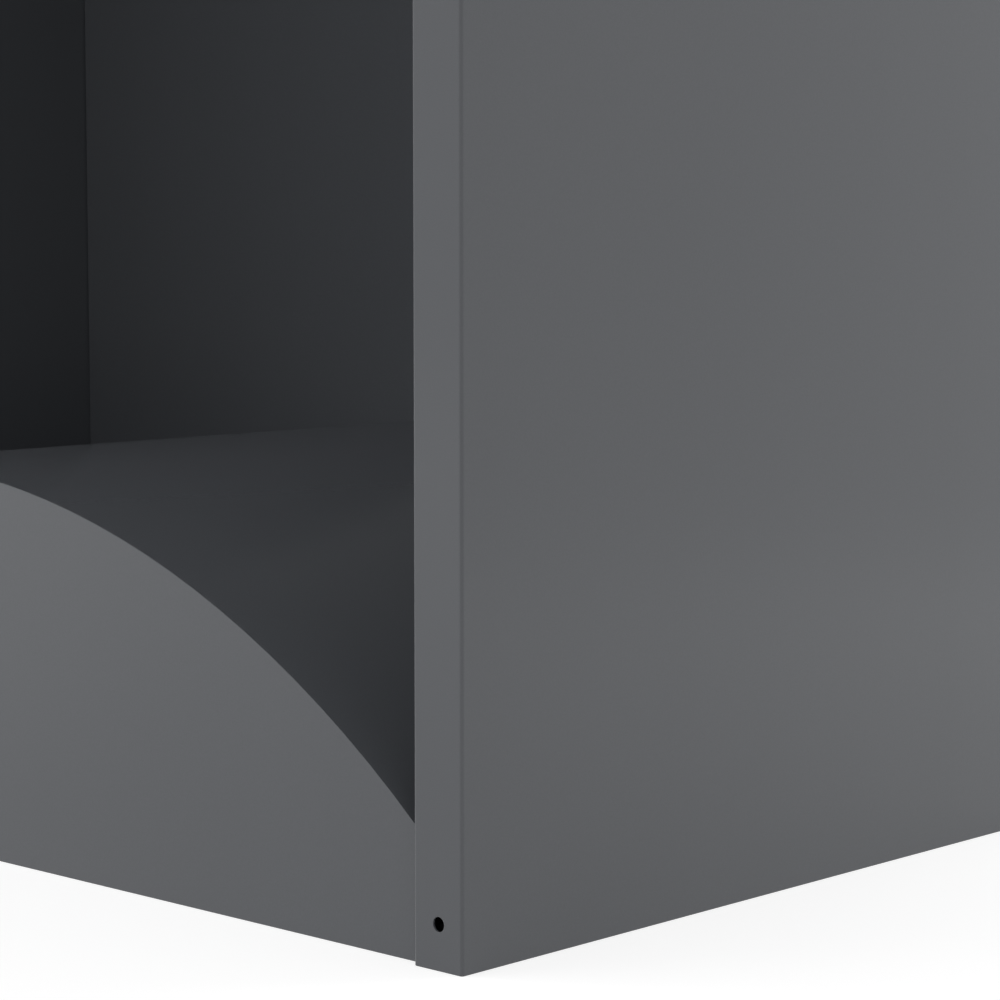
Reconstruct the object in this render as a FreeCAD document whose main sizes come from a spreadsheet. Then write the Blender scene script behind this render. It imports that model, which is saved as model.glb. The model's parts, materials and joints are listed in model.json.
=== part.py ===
import FreeCAD, Part
import math
import os
import re
import Sketcher
from FreeCAD import Vector

# A firewood rack of folded and powder coated sheet steel.
# Two channel-shaped side panels carry a back, a top cover and an arched floor, which lies on
# three arched webs.
# X runs across the front, Y from the front to the back and Z up.
# The origin lies on the ground, below the middle of the rack. Lengths are in millimetres.

DRIVING_SIZES = [
    ("rack_width", 800, "outside width across both side panels"),
    ("rack_depth", 450, "outside depth from the front flange to the rear flange"),
    ("rack_height", 1000, "height from the ground to the top of the cover"),
    ("sheet_gauge", 1, "thickness of every sheet"),
    ("bend_inside", 0.5, "inside radius of every fold"),
    ("edge_break", 0.3, "chamfer of the outer edges that stand on the ground"),
    ("jamb_width", 29, "width of a front flange"),
    ("jamb_lip", 5, "depth of the lip folded back from a front flange"),
    ("rear_flange_width", 27, "width of a rear flange"),
    ("top_return_width", 22, "width of the strip folded in at the top of a side panel"),
    ("top_return_inset", 22, "distance from the front or back face to the end of that strip"),
    ("relief_width", 3, "width of the notch at each end of a folded strip"),
    ("relief_depth", 4, "depth of that notch"),
    ("fixing_hole", 6.6, "diameter of the open hole near the ground in a front flange"),
    ("fixing_height", 20.5, "height of that hole above the ground"),
    ("fixing_inset", 14, "distance from that hole to the outer face of the side panel"),
    ("nut_window", 16, "size of the square window behind it in the front panel"),
    ("arch_crown", 197, "height of the middle of the floor above the ground"),
    ("arch_foot", 31, "height at which the floor meets a side panel"),
    ("floor_flange", 25, "depth of the strip folded down at each end of the floor"),
    ("floor_gap", 0.5, "clearance between the floor and the back panel"),
    ("seat_gap", 0.2, "clearance between the floor and what carries it"),
    ("web_return", 36, "depth of the folded ends of an arched web"),
    ("web_return_drop", 6, "distance from the end of the floor down to the top of a folded end"),
    ("web_foot", 16, "width of the strip folded at the bottom of a rib"),
    ("web_foot_inset", 40, "distance from the end of a rib to the end of that strip"),
    ("web_lift", 1, "clearance of the ribs above the sheet that lies on the ground"),
    ("clip_count", 5, "number of clips behind the front panel"),
    ("clip_pitch", 12, "angle between neighbouring clips, in degrees"),
    ("clip_length", 40, "length of a clip along the arch"),
    ("clip_depth", 20, "depth of a clip under the floor"),
    ("clip_drop", 18, "height of a clip on the front panel"),
    ("stud_diameter", 6, "diameter of a weld stud"),
    ("stud_slot", 6.6, "width of the slot or square hole for a weld stud"),
    ("stud_proud", 2.5, "length of a weld stud past its nut"),
    ("stud_offset", 24, "distance from the face of a web to the stud at its end"),
    ("stud_drop", 15, "distance from the end of the floor down to a stud"),
    ("top_stud_count", 2, "number of studs along each end of the top cover"),
    ("top_stud_span", 280, "distance between the first and the last of them"),
    ("nut_flats", 10, "size of a nut across its flats"),
    ("nut_height", 6, "height of a nut"),
    ("thread_gap", 0.1, "clearance between a nut and its stud, on the radius"),
    ("lid_skirt", 25, "height of the turned-down edge of the top cover"),
    ("lid_gap", 0.5, "clearance between the top cover and the side panels"),
    ("back_gap", 1, "clearance between the back panel and the side panels"),
    ("back_return", 18, "width of the strip folded at the bottom of the back panel"),
    ("back_return_inset", 40, "distance from the side of the rack to the end of that strip"),
    ("rivet_count", 3, "number of rivets along each rear flange"),
    ("rivet_lowest", 80, "height of the lowest rivet above the ground"),
    ("rivet_top_drop", 60, "distance from the highest rivet to the top of the side panel"),
    ("rivet_hole", 5, "diameter of a rivet hole"),
    ("rivet_shank", 4.8, "diameter of a rivet"),
    ("rivet_head", 9.5, "diameter of a rivet head"),
    ("rivet_head_height", 1.3, "height of a rivet head"),
    ("rivet_rim", 0.4, "height of a rivet head at its rim"),
    ("rivet_crown", 4, "diameter of the flat middle of a rivet head"),
    ("rivet_bulb", 7, "diameter of the spread end of a rivet"),
    ("rivet_bulb_height", 4, "height of the spread end of a rivet"),
    ("wall_hole", 6.6, "diameter of the two wall fixing holes in the back panel"),
    ("wall_hole_spacing", 600, "distance between the wall fixing holes"),
    ("wall_hole_drop", 70, "distance from the wall fixing holes to the top of the side panel"),
]

DERIVED_SIZES = [
    ("half_width", "rack_width / 2", "outer face of a side panel"),
    ("half_depth", "rack_depth / 2", "outer face of the front and rear flanges"),
    ("side_height", "rack_height - sheet_gauge", "top of the side panels"),
    ("bend_outside", "bend_inside + sheet_gauge", "outside radius of every fold"),
    ("side_inner", "half_width - sheet_gauge", "inner face of a side panel"),
    ("web_half", "side_inner - sheet_gauge", "inner face of the folded end of the floor"),
    ("nut_seat", "web_half - sheet_gauge", "inner face of the folded end of a web"),
    ("front_face", "-half_depth + jamb_lip", "front of the front panel"),
    ("floor_front", "front_face + sheet_gauge", "front edge of the floor"),
    ("back_face", "half_depth - 2 * sheet_gauge", "front of the back panel"),
    ("floor_rear", "back_face - floor_gap", "rear edge of the floor"),
    ("floor_length", "floor_rear - floor_front", "depth of the floor"),
    ("arch_rise", "arch_crown - arch_foot", "rise of the floor from its ends to its middle"),
    ("arch_radius", "(side_inner ^ 2 + arch_rise ^ 2) / (2 * arch_rise)",
     "radius of the floor on top"),
    ("arch_centre", "arch_crown - arch_radius", "height of the axis of the arch"),
    ("under_radius", "arch_radius - sheet_gauge", "radius of the floor underneath"),
    ("seat_radius", "under_radius - seat_gap", "radius of what carries the floor"),
    ("floor_low", "arch_foot - floor_flange", "lower edge of the folded ends of the floor"),
    ("web_bottom", "sheet_gauge + web_lift", "lower edge of a rib"),
    ("web_return_top", "arch_foot - web_return_drop", "upper edge of the folded end of a web"),
    ("stud_level", "arch_foot - stud_drop", "height of the studs at the base"),
    ("fixing_line", "half_width - fixing_inset", "place of the hole in a front flange"),
    ("rear_web", "floor_rear - web_return", "front of the rear rib"),
    ("stud_span", "rear_web - front_face", "distance between the first and the last base stud"),
    ("middle_web", "front_face + stud_span / 2", "front of the middle rib"),
    ("first_stud", "front_face + stud_offset", "position of the first base stud"),
    ("base_stud_length", "2 * sheet_gauge + nut_height + stud_proud", "length of a base stud"),
    ("top_stud_length", "sheet_gauge + nut_height + stud_proud", "length of a top stud"),
    ("top_stud_place", "half_width - top_return_width / 2", "line of the studs of the top cover"),
    ("top_return_half", "half_depth - top_return_inset", "half the length of the top return"),
    ("nut_corner", "nut_flats / sqrt(3)", "radius of a nut at its corners"),
    ("nut_bore", "stud_diameter + 2 * thread_gap", "diameter of the bore of a nut"),
    ("lid_half_width", "half_width + lid_gap + sheet_gauge", "end of the top cover"),
    ("lid_half_depth", "half_depth + lid_gap + sheet_gauge", "front or back of the top cover"),
    ("back_half", "side_inner - back_gap", "end of the back panel"),
    ("back_return_half", "half_width - back_return_inset", "end of the return of the back panel"),
    ("rivet_line", "half_width - rear_flange_width / 2", "line of the rivets"),
    ("rivet_span", "side_height - rivet_top_drop - rivet_lowest", "length of a row of rivets"),
    ("rivet_grip", "2 * sheet_gauge", "thickness that a rivet holds together"),
    ("rivet_tail", "-(rivet_grip + rivet_bulb_height)", "inner end of a rivet, from its head"),
    ("wall_hole_level", "side_height - wall_hole_drop", "height of the wall fixing holes"),
]

SIZE_NAMES = {row[0] for row in DRIVING_SIZES + DERIVED_SIZES}
SIDES = {"left": -1, "right": 1}
ALONG_X, ALONG_Y, ALONG_Z = range(3)
SAME_PLACE = 1e-4
LEAST_CUT = 0.1
START, END, CENTRE = range(1, 4)
SKETCH_ORIGIN = (-1, START)
# The front panel and two ribs, written as a rule of the sheet.
WEB_COUNT = "3"

doc = FreeCAD.newDocument("FirewoodRack")


def make_sheet():
    """Write the driving sizes, and the sizes that follow from them, into one sheet."""
    sheet = doc.addObject("Spreadsheet::Sheet", "Sizes")
    rows = [(name, str(number), note) for name, number, note in DRIVING_SIZES]
    rows += [(name, "=" + rule, note) for name, rule, note in DERIVED_SIZES]
    for line, (name, content, note) in enumerate(rows, start=1):
        sheet.set("A%d" % line, note)
        sheet.set("B%d" % line, content)
        sheet.setAlias("B%d" % line, name)
    doc.recompute()
    return sheet


sizes = make_sheet()


def value(rule):
    """The number that a rule gives with the present sizes."""
    return float(sizes.evalExpression(rule))


def bound(rule):
    """The same rule as an expression for another object of the document."""
    def full_name(word):
        return "Sizes." + word.group() if word.group() in SIZE_NAMES else word.group()
    return re.sub(r"[a-z_]+", full_name, rule)


def new_body(label):
    body = doc.addObject("PartDesign::Body", label)
    body.Label = label
    return body


def own_origin(body, role):
    """One of the body's own planes or axes."""
    return [feature for feature in body.Origin.OriginFeatures if feature.Role == role][0]


def new_sketch(body, name, plane, height="0", across="0", up="0"):
    """A sketch on one of the body's own planes, moved off the plane and within it."""
    sketch = body.newObject("Sketcher::SketchObject", name)
    sketch.AttachmentSupport = [(own_origin(body, plane), "")]
    sketch.MapMode = "FlatFace"
    for axis, rule in zip("xyz", (across, up, height)):
        sketch.setExpression("AttachmentOffset.Base." + axis, bound(rule))
    return sketch


def bind(sketch, kind, rule, *where):
    """A constraint of the sketch whose size follows a rule."""
    number = sketch.addConstraint(Sketcher.Constraint(kind, *where, value(rule)))
    sketch.setExpression("Constraints[%d]" % number, bound(rule))


def pin(sketch, curve, point, place):
    """Tie one point of a curve to its place, measured from the origin of the sketch."""
    bind(sketch, "DistanceX", place[0], *SKETCH_ORIGIN, curve, point)
    bind(sketch, "DistanceY", place[1], *SKETCH_ORIGIN, curve, point)


def draw_outline(sketch, corners, arcs=None):
    """A closed outline of straight edges, and of arcs from the corners that arcs lists."""
    arcs = arcs or {}
    points = [Vector(value(across), value(up), 0) for across, up in corners]
    edges = []
    for index, (start, end) in enumerate(zip(points, points[1:] + points[:1])):
        if index in arcs:
            edges.append(draw_arc(sketch, start, end, *arcs[index]))
        else:
            edges.append((sketch.addGeometry(Part.LineSegment(start, end)), START, END))
    for (curve, _, last), (following, first, _) in zip(edges, edges[1:] + edges[:1]):
        sketch.addConstraint(Sketcher.Constraint("Coincident", curve, last, following, first))
    for (curve, first, _), corner in zip(edges, corners):
        pin(sketch, curve, first, corner)


def draw_arc(sketch, start, end, radius, centre_on_left):
    """An arc of less than half a circle, with its centre left or right of its chord."""
    size = value(radius)
    chord = end - start
    leftward = Vector(-chord.y, chord.x, 0).normalize()
    reach = math.sqrt(size ** 2 - (chord.Length / 2) ** 2)
    centre = (start + end) / 2 + leftward * (reach if centre_on_left else -reach)
    circle = Part.Circle(centre, Vector(0, 0, 1), size)
    ends = (start, end) if centre_on_left else (end, start)
    angles = [circle.parameter(point) for point in ends]
    if angles[1] < angles[0]:
        angles[1] += 2 * math.pi
    curve = sketch.addGeometry(Part.ArcOfCircle(circle, *angles))
    bind(sketch, "Radius", radius, curve)
    return (curve, START, END) if centre_on_left else (curve, END, START)


def draw_rectangle(sketch, low, high):
    (left, bottom), (right, top) = low, high
    draw_outline(sketch, [(left, bottom), (right, bottom), (right, top), (left, top)])


def draw_square(sketch, centre, size):
    low = ["%s - %s / 2" % (rule, size) for rule in centre]
    high = ["%s + %s / 2" % (rule, size) for rule in centre]
    draw_rectangle(sketch, low, high)


def draw_circle(sketch, centre, diameter):
    place = Vector(value(centre[0]), value(centre[1]), 0)
    curve = sketch.addGeometry(Part.Circle(place, Vector(0, 0, 1), value(diameter) / 2))
    pin(sketch, curve, CENTRE, centre)
    bind(sketch, "Diameter", diameter, curve)


def settle(feature):
    """Recompute, and stop where the feature fails."""
    doc.recompute()
    if "Invalid" in feature.State or "Error" in feature.State:
        body = feature.getParentGeoFeatureGroup()
        raise RuntimeError("%s fails in %s" % (feature.Name, body.Label))


def pad(body, sketch, length, reverse=False):
    feature = body.newObject("PartDesign::Pad", "Pad")
    feature.Profile = sketch
    feature.setExpression("Length", bound(length))
    feature.Reversed = reverse
    settle(feature)
    return feature


def cut(body, sketch, length=None, reverse=False):
    """Cut a sketch out of the body, to a depth or right through to both sides of the sketch."""
    before = body.Shape.Volume
    feature = body.newObject("PartDesign::Pocket", "Pocket")
    feature.Profile = sketch
    if length is None:
        feature.Type = "ThroughAll"
        feature.Midplane = True
    else:
        feature.setExpression("Length", bound(length))
        feature.Reversed = reverse
    settle(feature)
    if before - body.Shape.Volume < LEAST_CUT:
        raise RuntimeError("a cut in %s takes nothing away" % body.Label)
    return feature


def revolve(body, sketch, axis):
    """Turn a sketch once round one of its own axes."""
    feature = body.newObject("PartDesign::Revolution", "Revolution")
    feature.Profile = sketch
    feature.ReferenceAxis = (sketch, [axis])
    feature.Angle = 360
    settle(feature)
    return feature


def repeat(body, features, direction, span, count):
    """A straight row of copies of some features along an axis of a sketch."""
    row = body.newObject("PartDesign::LinearPattern", "Row")
    row.Originals = features
    row.Direction = direction
    row.setExpression("Length", bound(span))
    row.setExpression("Occurrences", bound(count))
    body.Tip = row
    settle(row)
    return row


def straight_edges(shape, axis, places):
    """Names of the longest edges along an axis at given places in the other two directions."""
    others = [index for index in range(3) if index != axis]
    names = []
    for place in places:
        found = []
        for number, edge in enumerate(shape.Edges, start=1):
            ends = [vertex.Point for vertex in edge.Vertexes]
            misses = [abs(end[index] - aim) for end in ends for index, aim in zip(others, place)]
            if len(ends) == 2 and max(misses) < SAME_PLACE:
                found.append((edge.Length, "Edge%d" % number))
        names.append(max(found)[1])
    return names


def edges_near(shape, places):
    """Names of the edges that pass through one of the given places."""
    vertices = [Part.Vertex(*(value(rule) for rule in place)) for place in places]
    names = []
    for number, edge in enumerate(shape.Edges, start=1):
        if any(edge.distToShape(vertex)[0] < SAME_PLACE for vertex in vertices):
            names.append("Edge%d" % number)
    return names


def round_off(body, names, radius):
    base = body.Tip
    feature = body.newObject("PartDesign::Fillet", "Fillet")
    feature.Base = (base, names)
    feature.setExpression("Radius", bound(radius))
    body.Tip = feature
    settle(feature)


def break_edges(body, places):
    """Chamfer the cut edges that pass through the given places."""
    base = body.Tip
    feature = body.newObject("PartDesign::Chamfer", "Chamfer")
    feature.Base = (base, edges_near(base.Shape, places))
    feature.setExpression("Size", bound("edge_break"))
    body.Tip = feature
    settle(feature)


def fold(body, axis, outside, inside):
    """Round a fold on both faces of its sheet; the edges are given by their places."""
    for places, radius in ((outside, "bend_outside"), (inside, "bend_inside")):
        corners = [(value(first), value(second)) for first, second in places]
        round_off(body, straight_edges(body.Tip.Shape, axis, corners), radius)


def cut_reliefs(body, plane, height, half_length, low, high, reverse=False):
    """Notches beside both ends of a folded strip, between a lower and an upper level."""
    sketch = new_sketch(body, "reliefs", plane, height)
    past = half_length + " + relief_width"
    draw_rectangle(sketch, (half_length, low), (past, high))
    draw_rectangle(sketch, ("-(%s)" % past, low), ("-(%s)" % half_length, high))
    cut(body, sketch, "bend_outside", reverse)


def arch_height(radius, half_span):
    """Rule for the height of a circle about the arch axis, at a distance from the middle."""
    return "arch_centre + sqrt(%s ^ 2 - %s ^ 2)" % (radius, half_span)


def make_side_panel(side):
    """A folded channel: front flange with a lip, side, rear flange and a return at the top."""
    body = new_body(side + "_side_panel")
    sign = "%d * " % SIDES[side]
    outer = sign + "half_width"
    inner = sign + "side_inner"
    flange_edge = sign + "(half_width - jamb_width)"
    lip_inner = sign + "(half_width - jamb_width + sheet_gauge)"
    rear_edge = sign + "(half_width - rear_flange_width)"
    front, behind_front = "-half_depth", "-half_depth + sheet_gauge"
    back, before_back = "half_depth", "half_depth - sheet_gauge"

    profile = new_sketch(body, "profile", "XY_Plane")
    draw_outline(profile, [
        (flange_edge, "front_face"), (flange_edge, front), (outer, front), (outer, back),
        (rear_edge, back), (rear_edge, before_back), (inner, before_back), (inner, behind_front),
        (lip_inner, behind_front), (lip_inner, "front_face"),
    ])
    pad(body, profile, "side_height")
    fold(body, ALONG_Z,
         [(flange_edge, front), (outer, front), (outer, back)],
         [(lip_inner, behind_front), (inner, behind_front), (inner, before_back)])
    break_edges(body, [(sign + "fixing_line", front, "0"), (outer, "0", "0")])
    add_top_return(body, side)

    hole = new_sketch(body, "fixing_hole", "XZ_Plane", height="half_depth")
    draw_circle(hole, (sign + "fixing_line", "fixing_height"), "fixing_hole")
    cut(body, hole, "jamb_lip")

    rivets = new_sketch(body, "rivet_holes", "XZ_Plane", height="-half_depth")
    draw_circle(rivets, (sign + "rivet_line", "rivet_lowest"), "rivet_hole")
    first = cut(body, rivets, "rivet_grip", reverse=True)
    repeat(body, [first], (rivets, ["V_Axis"]), "rivet_span", "rivet_count")
    return body


def add_top_return(body, side):
    """Fold a strip in at the top, with a notch at each end and square holes for studs."""
    sign = "%d * " % SIDES[side]
    inner = sign + "side_inner"
    strip = new_sketch(body, "top_return", "XY_Plane", height="side_height")
    draw_rectangle(strip, (inner, "-top_return_half"),
                   (sign + "(half_width - top_return_width)", "top_return_half"))
    pad(body, strip, "sheet_gauge", reverse=True)
    cut_reliefs(body, "YZ_Plane", sign + "half_width", "top_return_half",
                "side_height - relief_depth", "side_height", reverse=side == "left")
    fold(body, ALONG_Y,
         [(sign + "half_width", "side_height")], [(inner, "side_height - sheet_gauge")])

    holes = new_sketch(body, "stud_holes", "XY_Plane", height="side_height")
    draw_square(holes, (sign + "top_stud_place", "-top_stud_span / 2"), "stud_slot")
    first = cut(body, holes, "2 * sheet_gauge")
    repeat(body, [first], (holes, ["V_Axis"]), "top_stud_span", "top_stud_count")


def make_web(label, front, bottom, radius):
    """An upright sheet with an arched top and its two ends folded back along the side panels.

    A slot in each folded end is open to the back, so that the web slides onto its studs.
    """
    body = new_body(label)
    body.setExpression("Placement.Base.y", bound(front))

    outline = new_sketch(body, "outline", "XZ_Plane")
    top = arch_height(radius, "web_half")
    draw_outline(outline, [
        ("-web_half", bottom), ("web_half", bottom), ("web_half", top), ("-web_half", top),
    ], arcs={2: (radius, True)})
    pad(body, outline, "sheet_gauge", reverse=True)

    returns = new_sketch(body, "end_returns", "XY_Plane", height=bottom)
    draw_rectangle(returns, ("-web_half", "0"), ("-nut_seat", "web_return"))
    draw_rectangle(returns, ("nut_seat", "0"), ("web_half", "web_return"))
    pad(body, returns, "web_return_top - " + bottom)
    fold(body, ALONG_Z,
         [("-web_half", "0"), ("web_half", "0")],
         [("-nut_seat", "sheet_gauge"), ("nut_seat", "sheet_gauge")])

    slots = new_sketch(body, "stud_slots", "YZ_Plane")
    draw_rectangle(slots, ("stud_offset - stud_slot / 2", "stud_level - stud_slot / 2"),
                   ("web_return", "stud_level + stud_slot / 2"))
    cut(body, slots)
    return body


def make_front_panel():
    """The web in sight: it stands on the ground, and its arch is flush with the floor."""
    body = make_web("front_arch_panel", "front_face", "0", "arch_radius")
    windows = new_sketch(body, "nut_windows", "XZ_Plane")
    for sign in ("-", ""):
        draw_square(windows, (sign + "fixing_line", "fixing_height"), "nut_window")
    cut(body, windows, "sheet_gauge")
    break_edges(body, [("0", "0", "0")])
    return body


def make_rib(label, front):
    """A web under the floor, with a strip folded back along its lower edge."""
    body = make_web(label, front, "web_bottom", "seat_radius")
    half_length = "web_half - web_foot_inset"
    strip = new_sketch(body, "foot", "XY_Plane", height="web_bottom")
    draw_rectangle(strip, ("-(%s)" % half_length, "0"), (half_length, "web_foot"))
    pad(body, strip, "sheet_gauge")
    cut_reliefs(body, "XZ_Plane", "0", half_length, "web_bottom", "web_bottom + relief_depth")
    fold(body, ALONG_X, [("0", "web_bottom")], [("sheet_gauge", "web_bottom + sheet_gauge")])
    return body


def make_floor():
    """A sheet rolled to the arch, with both ends folded down along the side panels.

    The slots in the folded ends are open below, so that the floor is lowered onto the studs.
    """
    body = new_body("arched_floor")
    upper = arch_height("arch_radius", "side_inner")
    lower = arch_height("under_radius", "web_half")
    profile = new_sketch(body, "profile", "XZ_Plane", height="-floor_front")
    draw_outline(profile, [
        ("side_inner", "floor_low"), ("side_inner", upper),
        ("-side_inner", upper), ("-side_inner", "floor_low"),
        ("-web_half", "floor_low"), ("-web_half", lower),
        ("web_half", lower), ("web_half", "floor_low"),
    ], arcs={1: ("arch_radius", True), 5: ("under_radius", False)})
    pad(body, profile, "floor_length", reverse=True)
    fold(body, ALONG_Y,
         [("side_inner", upper), ("-side_inner", upper)],
         [("web_half", lower), ("-web_half", lower)])

    slots = new_sketch(body, "stud_slots", "YZ_Plane")
    draw_rectangle(slots, ("first_stud - stud_slot / 2", "floor_low"),
                   ("first_stud + stud_slot / 2", "stud_level + stud_slot / 2"))
    first = cut(body, slots)
    repeat(body, [first], (slots, ["H_Axis"]), "stud_span", WEB_COUNT)
    return body


def draw_clip_sector(sketch, inner_radius):
    """A sector of a ring about the arch axis, as long as a clip."""
    outer_half, outer_up = "clip_length / 2", "sqrt(seat_radius ^ 2 - (clip_length / 2) ^ 2)"
    share = " * (%s) / seat_radius" % inner_radius
    inner_half, inner_up = outer_half + share, outer_up + share
    draw_outline(sketch, [
        (outer_half, outer_up), ("-" + outer_half, outer_up),
        ("-" + inner_half, inner_up), (inner_half, inner_up),
    ], arcs={0: ("seat_radius", True), 2: (inner_radius, False)})


def make_clip(number):
    """A clip on the back of the front panel, with a leg rolled to the underside of the floor.

    The body's own origin lies on the arch axis, and the body is leaned over to its place.
    """
    body = new_body("floor_clip_%d" % number)
    body.Placement = FreeCAD.Placement(Vector(0, 0, 0), FreeCAD.Rotation(Vector(0, 1, 0), 1))
    body.setExpression("Placement.Base.y", bound("floor_front"))
    body.setExpression("Placement.Base.z", bound("arch_centre"))
    lean = "clip_pitch * (%d - (clip_count + 1) / 2)" % number
    body.setExpression("Placement.Rotation.Angle", bound(lean))
    leg = new_sketch(body, "leg", "XZ_Plane")
    draw_clip_sector(leg, "seat_radius - sheet_gauge")
    pad(body, leg, "clip_depth", reverse=True)
    plate = new_sketch(body, "plate", "XZ_Plane")
    draw_clip_sector(plate, "seat_radius - clip_drop")
    pad(body, plate, "sheet_gauge", reverse=True)
    return body


def make_back_panel():
    """A flat sheet inside the rear flanges, with a strip folded forward along the ground."""
    body = new_body("back_panel")
    outline = new_sketch(body, "outline", "XZ_Plane", height="-back_face")
    draw_rectangle(outline, ("-back_half", "0"), ("back_half", "side_height"))
    pad(body, outline, "sheet_gauge", reverse=True)
    rear = "back_face + sheet_gauge"
    strip = new_sketch(body, "return", "XY_Plane")
    draw_rectangle(strip, ("-back_return_half", rear + " - back_return"),
                   ("back_return_half", rear))
    pad(body, strip, "sheet_gauge")
    cut_reliefs(body, "XZ_Plane", "-(%s)" % rear, "back_return_half",
                "0", "relief_depth", reverse=True)
    fold(body, ALONG_X, [(rear, "0")], [("back_face", "sheet_gauge")])

    holes = new_sketch(body, "wall_holes", "XZ_Plane", height="-back_face")
    rivets = new_sketch(body, "rivet_holes", "XZ_Plane", height="-back_face")
    for sign in ("-", ""):
        draw_circle(holes, (sign + "wall_hole_spacing / 2", "wall_hole_level"), "wall_hole")
        draw_circle(rivets, (sign + "rivet_line", "rivet_lowest"), "rivet_hole")
    cut(body, holes)
    first = cut(body, rivets)
    repeat(body, [first], (rivets, ["V_Axis"]), "rivet_span", "rivet_count")
    return body


def make_top_cover():
    """A shallow tray, open downwards, that fits over the tops of the side panels."""
    body = new_body("top_cover")
    outline = new_sketch(body, "outline", "XY_Plane", height="rack_height - lid_skirt")
    draw_rectangle(outline, ("-lid_half_width", "-lid_half_depth"),
                   ("lid_half_width", "lid_half_depth"))
    pad(body, outline, "lid_skirt")
    top = value("rack_height")
    rim = ["Edge%d" % number for number, edge in enumerate(body.Tip.Shape.Edges, start=1)
           if abs(edge.BoundBox.ZMin - top) < SAME_PLACE]
    round_off(body, rim, "bend_outside")

    base = body.Tip
    low = value("rack_height - lid_skirt")
    bottom = ["Face%d" % number for number, face in enumerate(base.Shape.Faces, start=1)
              if abs(face.BoundBox.ZMax - low) < SAME_PLACE]
    shell = body.newObject("PartDesign::Thickness", "Shell")
    shell.Base = (base, bottom)
    shell.setExpression("Value", bound("sheet_gauge"))
    shell.Reversed = True
    body.Tip = shell
    settle(shell)
    return body


def repeat_in_depth(body, features, span, count):
    """A row of copies from the front to the back of the rack."""
    repeat(body, features, (own_origin(body, "Y_Axis"), [""]), span, count)


def make_studs(label, plane, height, centre, length, reverse, span, count):
    """A row of weld studs; the first stands on a plane at a given place."""
    body = new_body(label)
    section = new_sketch(body, "section", plane, height)
    draw_circle(section, centre, "stud_diameter")
    first = pad(body, section, length, reverse)
    repeat_in_depth(body, [first], span, count)
    return body


def make_base_studs(side):
    """Studs welded to the inner face of a side panel, one at the end of each arched web."""
    return make_studs(side + "_base_studs", "YZ_Plane", "%d * side_inner" % SIDES[side],
                      ("first_stud", "stud_level"), "base_stud_length", side == "right",
                      "stud_span", WEB_COUNT)


def make_top_studs(side):
    """Studs welded to the underside of the top cover, along one end of it."""
    return make_studs(side + "_top_studs", "XY_Plane", "side_height",
                      ("%d * top_stud_place" % SIDES[side], "-top_stud_span / 2"),
                      "top_stud_length", True, "top_stud_span", "top_stud_count")


def make_nuts(label, plane, height, centre, reverse, span, count):
    """A row of hexagon nuts; the first stands on a plane at a given place."""
    body = new_body(label)
    across, up = centre
    hexagon = new_sketch(body, "hexagon", plane, height)
    draw_outline(hexagon, [
        ("%s + nut_corner * cos(%d)" % (across, angle), "%s + nut_corner * sin(%d)" % (up, angle))
        for angle in range(0, 360, 60)
    ])
    barrel = pad(body, hexagon, "nut_height", reverse)
    bore = new_sketch(body, "bore", plane, height)
    draw_circle(bore, centre, "nut_bore")
    hole = cut(body, bore)
    repeat_in_depth(body, [barrel, hole], span, count)
    return body


def make_base_nuts(side):
    return make_nuts(side + "_base_nuts", "YZ_Plane", "%d * nut_seat" % SIDES[side],
                     ("first_stud", "stud_level"), side == "right", "stud_span", WEB_COUNT)


def make_top_nuts(side):
    return make_nuts(side + "_top_nuts", "XY_Plane", "side_height - sheet_gauge",
                     ("%d * top_stud_place" % SIDES[side], "-top_stud_span / 2"),
                     True, "top_stud_span", "top_stud_count")


def make_rivets(side):
    """Blind rivets along a rear flange, with their spread ends inside the back panel."""
    body = new_body(side + "_back_rivets")
    line = "%d * rivet_line" % SIDES[side]
    sketch = new_sketch(body, "half_section", "YZ_Plane", line, "half_depth", "rivet_lowest")
    draw_outline(sketch, [
        ("rivet_tail", "0"), ("rivet_head_height", "0"), ("rivet_head_height", "rivet_crown / 2"),
        ("rivet_rim", "rivet_head / 2"), ("0", "rivet_head / 2"), ("0", "rivet_shank / 2"),
        ("-rivet_grip", "rivet_shank / 2"), ("-rivet_grip", "rivet_bulb / 2"),
        ("rivet_tail", "rivet_bulb / 2"),
    ])
    first = revolve(body, sketch, "H_Axis")
    repeat(body, [first], (sketch, ["V_Axis"]), "rivet_span", "rivet_count")
    return body


def make_parts():
    parts = [make_front_panel(), make_floor(), make_back_panel(), make_top_cover()]
    parts += [make_clip(number + 1) for number in range(int(value("clip_count")))]
    parts.append(make_rib("middle_arch_rib", "middle_web"))
    parts.append(make_rib("rear_arch_rib", "rear_web"))
    for side in SIDES:
        parts.append(make_side_panel(side))
        parts += [make_base_studs(side), make_base_nuts(side)]
        parts += [make_top_studs(side), make_top_nuts(side)]
        parts.append(make_rivets(side))
    return parts


def check_document():
    for item in doc.Objects:
        if "Invalid" in item.State or "Error" in item.State:
            raise RuntimeError("%s is %s" % (item.Label, item.State))


def main():
    parts = make_parts()
    doc.recompute()
    check_document()
    for part in parts:
        if part.Shape.isNull() or not part.Shape.isValid():
            raise RuntimeError("%s has no valid shape" % part.Label)
    os.makedirs("parts", exist_ok=True)
    for part in parts:
        part.Shape.exportStep(os.path.join("parts", part.Label + ".step"))


main()
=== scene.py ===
import json
import math

import bmesh
import bpy
from mathutils import Matrix, Vector


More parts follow.
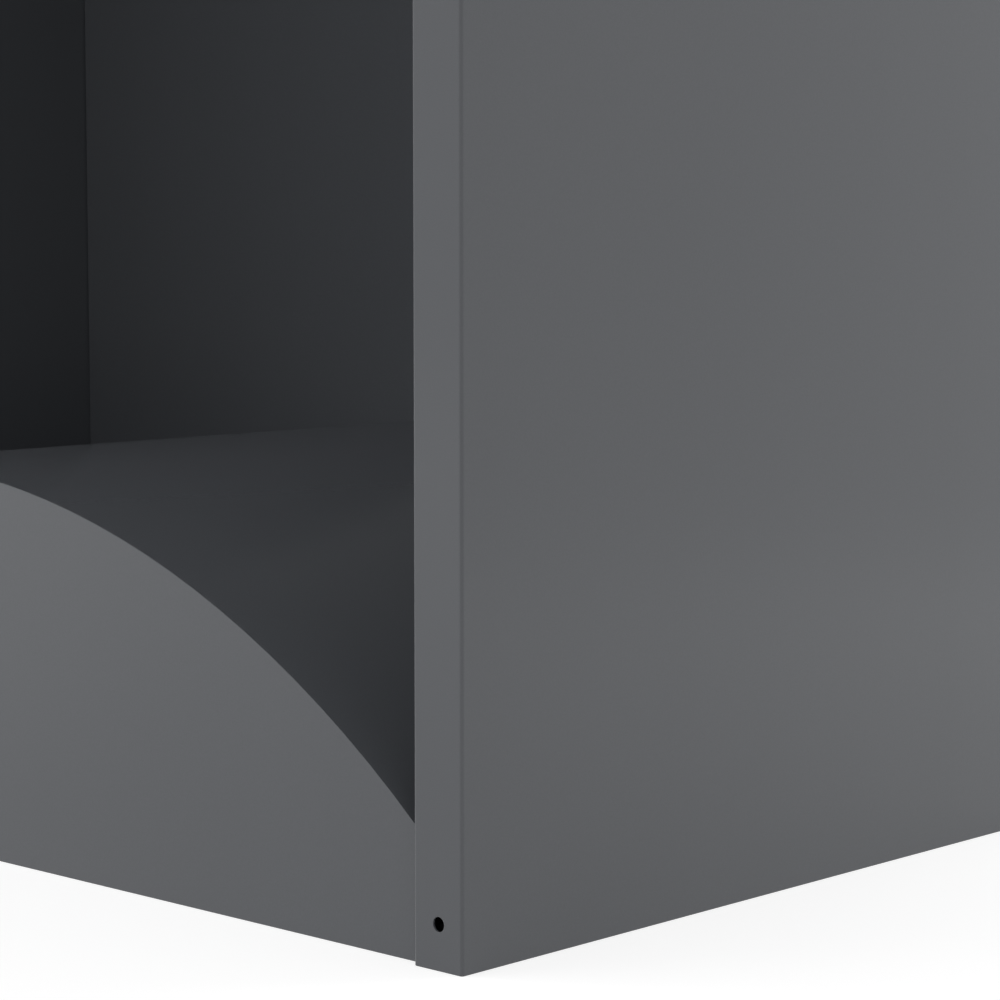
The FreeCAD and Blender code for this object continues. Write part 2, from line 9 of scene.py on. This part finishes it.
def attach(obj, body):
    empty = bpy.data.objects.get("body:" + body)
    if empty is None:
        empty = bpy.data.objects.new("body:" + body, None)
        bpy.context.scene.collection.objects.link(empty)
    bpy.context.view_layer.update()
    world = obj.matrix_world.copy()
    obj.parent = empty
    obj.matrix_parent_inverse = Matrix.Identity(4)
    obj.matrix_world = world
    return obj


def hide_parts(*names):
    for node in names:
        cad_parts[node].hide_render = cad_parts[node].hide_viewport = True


# A firewood rack of folded sheet steel, powder coated in satin anthracite.
# Lengths are in metres and angles in degrees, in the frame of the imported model.

SAME_PLACE = 1e-6

CAMERA_PLACE = (1.2504, -1.1110, 0.3218)
CAMERA_TURN = 43.075
CAMERA_DOWN = 5.472
CAMERA_LENS = 105.92
SENSOR_WIDTH = 36

FLOOR_SIZE = 14
FLOOR_ROUGHNESS = 0.9
FLOOR_BOUNCE = 0.45
FLOOR_GLOW = 0.66
FLOOR_SHADOW = 0.5
# The floor's glow carries a painted shade from ambient occlusion: it is dark where the space
# within its reach is as closed as the first share, and at full strength where it is as open as the
# second.
FLOOR_REACH = 0.9
FLOOR_CLOSED = 0.02
FLOOR_OPEN = 0.3
WORLD_LIGHT = 0.7
WHITE = 1

COAT_COLOUR = (0.0985, 0.104, 0.1148)
ZINC_COLOUR = (0.55, 0.56, 0.56)
ALUMINIUM_COLOUR = (0.66, 0.67, 0.68)
# Most values of a noise lie between these two.
NOISE_LOW = 0.3
NOISE_HIGH = 0.7
EDGE_RADIUS = 0.0004
EDGE_SAMPLES = 6
SMOOTH_ANGLE = 35

# The flats at the root and at the crest of a thread are shares of its pitch.
THREAD_PITCH = 0.001
THREAD_DEPTH = 0.0006
THREAD_ROOT = 0.25
THREAD_CREST = 0.125
THREAD_STEPS = 24
TIP_RADIUS = 0.0021

# A nut's round face is a share of the distance across its flats.
NUT_SIDES = 6
NUT_STEPS = 36
NUT_BORE = 0.0031
NUT_FACE = 0.95
NUT_CHAMFER = 30
BORE_CHAMFER = 0.0004

# A rivet's levels are measured from the end of its tail.
RIVET_STEPS = 32
RIVET_ARC_STEPS = 6
RIVET_SHANK = 0.0024
RIVET_BULB = 0.0035
RIVET_CROWN = 0.0016
RIVET_PIN = 0.0011
RIVET_RECESS = 0.0007
BULB_START = 0.0008
BULB_END = 0.004
HEAD_SEAT = 0.006
HEAD_RIM = 0.0004

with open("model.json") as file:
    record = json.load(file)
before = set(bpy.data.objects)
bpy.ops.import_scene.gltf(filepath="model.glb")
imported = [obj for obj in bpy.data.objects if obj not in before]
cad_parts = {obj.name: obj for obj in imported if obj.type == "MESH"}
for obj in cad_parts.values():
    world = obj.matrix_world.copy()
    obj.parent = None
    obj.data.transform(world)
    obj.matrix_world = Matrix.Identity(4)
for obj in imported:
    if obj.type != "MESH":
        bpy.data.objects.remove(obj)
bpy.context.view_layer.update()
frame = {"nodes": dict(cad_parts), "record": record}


def new_material(name):
    """A material with its node tree and its Principled shader."""
    material = bpy.data.materials.new(name)
    material.use_nodes = True
    tree = material.node_tree
    return material, tree, tree.nodes["Principled BSDF"]


def noise(tree, size, detail=2, stretch=(1, 1, 1)):
    """Soft noise that stays on the object, with blotches about as large as size."""
    source = tree.nodes.new("ShaderNodeTexCoord")
    mapping = tree.nodes.new("ShaderNodeMapping")
    mapping.inputs["Scale"].default_value = stretch
    tree.links.new(source.outputs["Object"], mapping.inputs["Vector"])
    node = tree.nodes.new("ShaderNodeTexNoise")
    node.inputs["Scale"].default_value = 1 / size
    node.inputs["Detail"].default_value = detail
    tree.links.new(mapping.outputs["Vector"], node.inputs["Vector"])
    return node.outputs["Fac"]


def spread(tree, source, low, high, start=NOISE_LOW, end=NOISE_HIGH):
    """Map the source's range from start to end to the range from low to high."""
    node = tree.nodes.new("ShaderNodeMapRange")
    node.inputs["From Min"].default_value = start
    node.inputs["From Max"].default_value = end
    node.inputs["To Min"].default_value = low
    node.inputs["To Max"].default_value = high
    tree.links.new(source, node.inputs["Value"])
    return node.outputs["Result"]


def join(tree, operation, sources):
    """The sources taken together, two at a time, by one Math operation."""
    total = sources[0]
    for source in sources[1:]:
        node = tree.nodes.new("ShaderNodeMath")
        node.operation = operation
        tree.links.new(total, node.inputs[0])
        tree.links.new(source, node.inputs[1])
        total = node.outputs["Value"]
    return total


def colour(tree, shader, base, factors):
    """One base colour, made lighter and darker by the product of some factors."""
    scale = tree.nodes.new("ShaderNodeVectorMath")
    scale.operation = "SCALE"
    scale.inputs[0].default_value = base
    tree.links.new(join(tree, "MULTIPLY", factors), scale.inputs["Scale"])
    tree.links.new(scale.outputs["Vector"], shader.inputs["Base Color"])


def polish(tree, shader, patches, low, high):
    """A roughness that differs a little from patch to patch."""
    tree.links.new(spread(tree, patches, low, high), shader.inputs["Roughness"])


def emboss(tree, shader, height, depth, strength):
    """A fine relief on faces whose sharp edges are broken by a small radius."""
    edges = tree.nodes.new("ShaderNodeBevel")
    edges.samples = EDGE_SAMPLES
    edges.inputs["Radius"].default_value = EDGE_RADIUS
    relief = tree.nodes.new("ShaderNodeBump")
    relief.inputs["Distance"].default_value = depth
    relief.inputs["Strength"].default_value = strength
    tree.links.new(height, relief.inputs["Height"])
    tree.links.new(edges.outputs["Normal"], relief.inputs["Normal"])
    tree.links.new(relief.outputs["Normal"], shader.inputs["Normal"])


def powder_coat():
    """Satin anthracite powder coat: a fine orange peel, faint spray passes and a speckle."""
    material, tree, shader = new_material("anthracite_coat")
    clouds = spread(tree, noise(tree, size=0.25), low=0.988, high=1.012)
    upright = noise(tree, size=0.05, stretch=(1, 1, 0.04))
    passes = spread(tree, upright, low=0.992, high=1.008)
    speckle = spread(tree, noise(tree, size=0.0006, detail=1), low=0.96, high=1.04)
    colour(tree, shader, COAT_COLOUR, [clouds, passes, speckle])
    polish(tree, shader, noise(tree, size=0.004), low=0.155, high=0.18)
    emboss(tree, shader, noise(tree, size=0.0018, detail=3), depth=0.00005, strength=0.25)
    return material


def zinc_plate():
    """Bright zinc plate: pale metal with fine drawn lines and small cloudy patches."""
    material, tree, shader = new_material("zinc_steel")
    shader.inputs["Metallic"].default_value = 1
    patches = spread(tree, noise(tree, size=0.002), low=0.88, high=1.08)
    drawn = noise(tree, size=0.0004, stretch=(0.1, 1, 1))
    lines = spread(tree, drawn, low=0.95, high=1.05)
    colour(tree, shader, ZINC_COLOUR, [patches, lines])
    polish(tree, shader, noise(tree, size=0.001), low=0.25, high=0.4)
    emboss(tree, shader, noise(tree, size=0.0005), depth=0.00003, strength=0.3)
    return material


def rivet_aluminium():
    """Plain aluminium with the fine grain of a pressed rivet head."""
    material, tree, shader = new_material("rivet_aluminium")
    shader.inputs["Metallic"].default_value = 1
    patches = spread(tree, noise(tree, size=0.0015), low=0.9, high=1.06)
    grain = spread(tree, noise(tree, size=0.0003), low=0.95, high=1.05)
    colour(tree, shader, ALUMINIUM_COLOUR, [patches, grain])
    polish(tree, shader, noise(tree, size=0.0008), low=0.3, high=0.45)
    emboss(tree, shader, noise(tree, size=0.0004), depth=0.00002, strength=0.3)
    return material


finishes = {
    "anthracite_coat": powder_coat(),
    "zinc_steel": zinc_plate(),
    "rivet_aluminium": rivet_aluminium(),
}


def dress_nodes():
    """Give every node the finish of its slot."""
    for subpart in frame["record"]["subparts"]:
        node = frame["nodes"][subpart["node"]]
        node.data.materials.clear()
        node.data.materials.append(finishes[subpart["material_slot"]])


def solids_of(node):
    """The lowest and highest corners of each separate solid of a node, in order of place."""
    mesh = bmesh.new()
    mesh.from_mesh(frame["nodes"][node].data)
    bmesh.ops.remove_doubles(mesh, verts=mesh.verts, dist=SAME_PLACE)
    waiting = set(mesh.verts)
    boxes = []
    while waiting:
        reached = [waiting.pop()]
        for vertex in reached:
            for edge in vertex.link_edges:
                neighbour = edge.other_vert(vertex)
                if neighbour in waiting:
                    waiting.remove(neighbour)
                    reached.append(neighbour)
        columns = list(zip(*(vertex.co for vertex in reached)))
        boxes.append((Vector(map(min, columns)), Vector(map(max, columns))))
    mesh.free()
    return sorted(boxes, key=lambda box: tuple(box[0]))


def place_in(box, direction):
    """Where a piece stands in a box, with Z running through the box and Y along its wider side.

    Returns the place of its foot, its length and its narrower width."""
    low, high = box
    size = high - low
    through = Vector(direction)
    axis = max(range(3), key=lambda index: abs(through[index]))
    narrow, wide = sorted({0, 1, 2} - {axis}, key=lambda index: size[index])
    across = Vector(float(index == wide) for index in range(3))
    foot = (low + high) / 2 - through * size[axis] / 2
    turn = Matrix((across.cross(through), across, through)).transposed()
    return Matrix.Translation(foot) @ turn.to_4x4(), size[axis], size[narrow]


def on_circle(radius, angle, level):
    return Vector((radius * math.cos(angle), radius * math.sin(angle), level))


def add_turned(mesh, place, steps, profile_at):
    """Join profiles of radius and level that stand at equal steps round the Z axis of a place."""
    columns = []
    for step in range(steps):
        angle = 2 * math.pi * step / steps
        columns.append([mesh.verts.new(place @ on_circle(radius, angle, level))
                        for radius, level in profile_at(angle)])
    for column, following in zip(columns, columns[1:] + columns[:1]):
        for index in range(len(column) - 1):
            mesh.faces.new((column[index], following[index],
                            following[index + 1], column[index + 1]))


def add_stud(mesh, place, length, diameter):
    """A threaded stud along Z, cut square at its foot and chamfered at its tip."""
    crest = diameter / 2
    root = crest - THREAD_DEPTH
    flank = (1 - THREAD_ROOT - THREAD_CREST) / 2
    rise = THREAD_ROOT + flank
    profile = [(0, root), (THREAD_ROOT, root), (rise, crest), (rise + THREAD_CREST, crest)]
    # The thread starts a turn below the foot and ends beyond the tip, and both are cut off.
    turns = math.ceil(length / THREAD_PITCH) + 2
    rows = []
    for step in range(turns * THREAD_STEPS):
        angle = 2 * math.pi * step / THREAD_STEPS
        row = []
        for share, radius in profile:
            level = THREAD_PITCH * (step / THREAD_STEPS + share - 1)
            if level <= 0:
                level, radius = 0, root
            level = min(level, length)
            radius = min(radius, TIP_RADIUS + length - level)
            row.append(mesh.verts.new(place @ on_circle(radius, angle, level)))
        rows.append(row)
    for step in range(len(rows) - THREAD_STEPS - 1):
        row = rows[step] + rows[step + THREAD_STEPS][:1]
        following = rows[step + 1] + rows[step + THREAD_STEPS + 1][:1]
        for index in range(len(profile)):
            mesh.faces.new((row[index], following[index], following[index + 1], row[index + 1]))


def add_nut(mesh, place, height, across_flats):
    """A hexagon nut along Z, chamfered at both faces and at both ends of its bore."""
    half_side = 180 / NUT_SIDES

    def profile_at(angle):
        from_flat = (math.degrees(angle) + half_side) % (2 * half_side) - half_side
        outer = across_flats / 2 / math.cos(math.radians(from_flat))
        face = NUT_FACE * across_flats / 2
        shoulder = (outer - face) * math.tan(math.radians(NUT_CHAMFER))
        rim = NUT_BORE + BORE_CHAMFER
        bottom = [(NUT_BORE, BORE_CHAMFER), (rim, 0), (face, 0), (outer, shoulder)]
        top = [(radius, height - level) for radius, level in reversed(bottom)]
        return bottom + top + bottom[:1]

    add_turned(mesh, place, NUT_STEPS, profile_at)


def add_rivet(mesh, place, length, head_diameter):
    """A set blind rivet along Z: spread tail, shank, domed head and the pin in its recess."""
    arc = [math.pi / 2 * step / RIVET_ARC_STEPS for step in range(RIVET_ARC_STEPS + 1)]
    half_height = (BULB_END - BULB_START) / 2
    tail = [(0, 0), (RIVET_SHANK, 0)]
    for turn in [-angle for angle in reversed(arc[1:])] + arc:
        radius = RIVET_SHANK + (RIVET_BULB - RIVET_SHANK) * math.cos(turn)
        tail.append((radius, BULB_START + half_height * (1 + math.sin(turn))))
    rim = head_diameter / 2
    head = [(RIVET_SHANK, HEAD_SEAT), (rim, HEAD_SEAT)]
    dome_height = length - HEAD_SEAT - HEAD_RIM
    for turn in arc:
        radius = RIVET_CROWN + (rim - RIVET_CROWN) * math.cos(turn)
        head.append((radius, HEAD_SEAT + HEAD_RIM + dome_height * math.sin(turn)))
    pin_end = length - RIVET_RECESS
    pin = [(RIVET_PIN, length - HEAD_RIM / 2), (RIVET_PIN, pin_end), (0, pin_end)]
    profile = tail + head + pin
    add_turned(mesh, place, RIVET_STEPS, lambda angle: profile)


def finish_piece(mesh, node, slot):
    """Close a mesh, shade it smooth up to its sharp edges and let it stand for a node."""
    bmesh.ops.remove_doubles(mesh, verts=mesh.verts, dist=SAME_PLACE)
    bmesh.ops.holes_fill(mesh, edges=[edge for edge in mesh.edges if edge.is_boundary])
    bmesh.ops.recalc_face_normals(mesh, faces=mesh.faces)
    name = "detailed_" + node
    data = bpy.data.meshes.new(name)
    mesh.to_mesh(data)
    mesh.free()
    data.shade_smooth()
    data.set_sharp_from_angle(angle=math.radians(SMOOTH_ANGLE))
    data.materials.append(finishes[slot])
    piece = bpy.data.objects.new(name, data)
    bpy.context.scene.collection.objects.link(piece)
    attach(piece, "root")
    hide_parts(node)


def replace_fasteners(kind, add_solid, direction, slot):
    """Stand detailed fasteners in the places of the plain solids of a left and a right node.

    The direction is the right one's, and the left one's is its mirror image."""
    x, y, z = direction
    for side, mirror in (("left", -1), ("right", 1)):
        node = "%s_%s" % (side, kind)
        mesh = bmesh.new()
        for box in solids_of(node):
            add_solid(mesh, *place_in(box, (mirror * x, y, z)))
        finish_piece(mesh, node, slot)


def fit_fasteners():
    """Studs and nuts point inwards at the base and down at the top; rivets are set from behind."""
    replace_fasteners("base_studs", add_stud, (-1, 0, 0), "zinc_steel")
    replace_fasteners("base_nuts", add_nut, (-1, 0, 0), "zinc_steel")
    replace_fasteners("top_studs", add_stud, (0, 0, -1), "zinc_steel")
    replace_fasteners("top_nuts", add_nut, (0, 0, -1), "zinc_steel")
    replace_fasteners("back_rivets", add_rivet, (0, 1, 0), "rivet_aluminium")


def grey(level):
    return level, level, level, 1


def seen_directly(tree):
    """One for rays from the camera, in mirror images and through glass; zero for other light."""
    path = tree.nodes.new("ShaderNodeLightPath")
    kinds = ("Is Camera Ray", "Is Glossy Ray", "Is Transmission Ray")
    return join(tree, "MAXIMUM", [path.outputs[kind] for kind in kinds])


def light_world():
    """Even light from all round, in front of a white background."""
    world = bpy.data.worlds.new("studio")
    bpy.context.scene.world = world
    world.use_nodes = True
    tree = world.node_tree
    light = tree.nodes["Background"]
    light.inputs["Color"].default_value = grey(WHITE)
    light.inputs["Strength"].default_value = WORLD_LIGHT
    white = tree.nodes.new("ShaderNodeBackground")
    white.inputs["Color"].default_value = grey(WHITE)
    white.inputs["Strength"].default_value = 1
    mix = tree.nodes.new("ShaderNodeMixShader")
    tree.links.new(seen_directly(tree), mix.inputs["Fac"])
    tree.links.new(light.outputs["Background"], mix.inputs[1])
    tree.links.new(white.outputs["Background"], mix.inputs[2])
    tree.links.new(mix.outputs["Shader"], tree.nodes["World Output"].inputs["Surface"])


def floor_finish():
    """Pale, and seen as white with the rack's shadow on it; its glow carries a painted shade that
    makes it dark in a closed space.
    """
    material, tree, shader = new_material("studio_floor")
    shader.inputs["Base Color"].default_value = grey(FLOOR_BOUNCE)
    shader.inputs["Roughness"].default_value = FLOOR_ROUGHNESS
    shader.inputs["Specular IOR Level"].default_value = 0
    # Ambient occlusion darkens the floor's glow: a painted shade under and close to the rack.
    openness = tree.nodes.new("ShaderNodeAmbientOcclusion")
    openness.inputs["Distance"].default_value = FLOOR_REACH
    white = tree.nodes.new("ShaderNodeEmission")
    shaded_glow = spread(tree, openness.outputs["AO"], low=0, high=FLOOR_GLOW,
                  start=FLOOR_CLOSED, end=FLOOR_OPEN)
    tree.links.new(shaded_glow, white.inputs["Strength"])
    shadow = tree.nodes.new("ShaderNodeBsdfDiffuse")
    shadow.inputs["Color"].default_value = grey(FLOOR_SHADOW)
    both = tree.nodes.new("ShaderNodeAddShader")
    tree.links.new(white.outputs["Emission"], both.inputs[0])
    tree.links.new(shadow.outputs["BSDF"], both.inputs[1])
    mix = tree.nodes.new("ShaderNodeMixShader")
    tree.links.new(seen_directly(tree), mix.inputs["Fac"])
    tree.links.new(shader.outputs["BSDF"], mix.inputs[1])
    tree.links.new(both.outputs["Shader"], mix.inputs[2])
    tree.links.new(mix.outputs["Shader"], tree.nodes["Material Output"].inputs["Surface"])
    return material


def lay_floor():
    half = FLOOR_SIZE / 2
    mesh = bpy.data.meshes.new("studio_floor")
    corners = [(-half, -half, 0), (half, -half, 0), (half, half, 0), (-half, half, 0)]
    mesh.from_pydata(corners, [], [(0, 1, 2, 3)])
    mesh.materials.append(floor_finish())
    floor = bpy.data.objects.new("studio_floor", mesh)
    bpy.context.scene.collection.objects.link(floor)


def add_softbox(name, place, aim, size, power):
    """A square even lamp that faces a point, seen neither directly nor in mirror images."""
    lamp = bpy.data.lights.new(name, "AREA")
    lamp.size = size
    lamp.energy = power
    holder = bpy.data.objects.new(name, lamp)
    holder.location = place
    facing = Vector(aim) - Vector(place)
    holder.rotation_euler = facing.to_track_quat("-Z", "Y").to_euler()
    holder.visible_camera = False
    holder.visible_glossy = False
    bpy.context.scene.collection.objects.link(holder)


def light_scene():
    """A large key lamp high on the left, a low one beside it and a weak fill at the rear."""
    light_world()
    add_softbox("key_softbox", place=(-1.5, -1.5, 1.9), aim=(0, -0.2, 0.2), size=2.4, power=20)
    add_softbox("left_softbox", place=(-4, -2.2, 0.55), aim=(-0.1, -0.2, 0.2), size=2, power=60)
    add_softbox("rear_softbox", place=(1, 0.9, 0.8), aim=(0.6, 0.5, 0), size=0.6, power=3.6)


def set_camera():
    lens = bpy.data.cameras.new("camera")
    lens.sensor_width = SENSOR_WIDTH
    lens.lens = CAMERA_LENS
    camera = bpy.data.objects.new("camera", lens)
    camera.location = CAMERA_PLACE
    camera.rotation_euler = (math.radians(90 - CAMERA_DOWN), 0, math.radians(CAMERA_TURN))
    bpy.context.scene.collection.objects.link(camera)
    bpy.context.scene.camera = camera
    bpy.context.scene.view_settings.view_transform = "Standard"


dress_nodes()
fit_fasteners()
lay_floor()
light_scene()
set_camera()
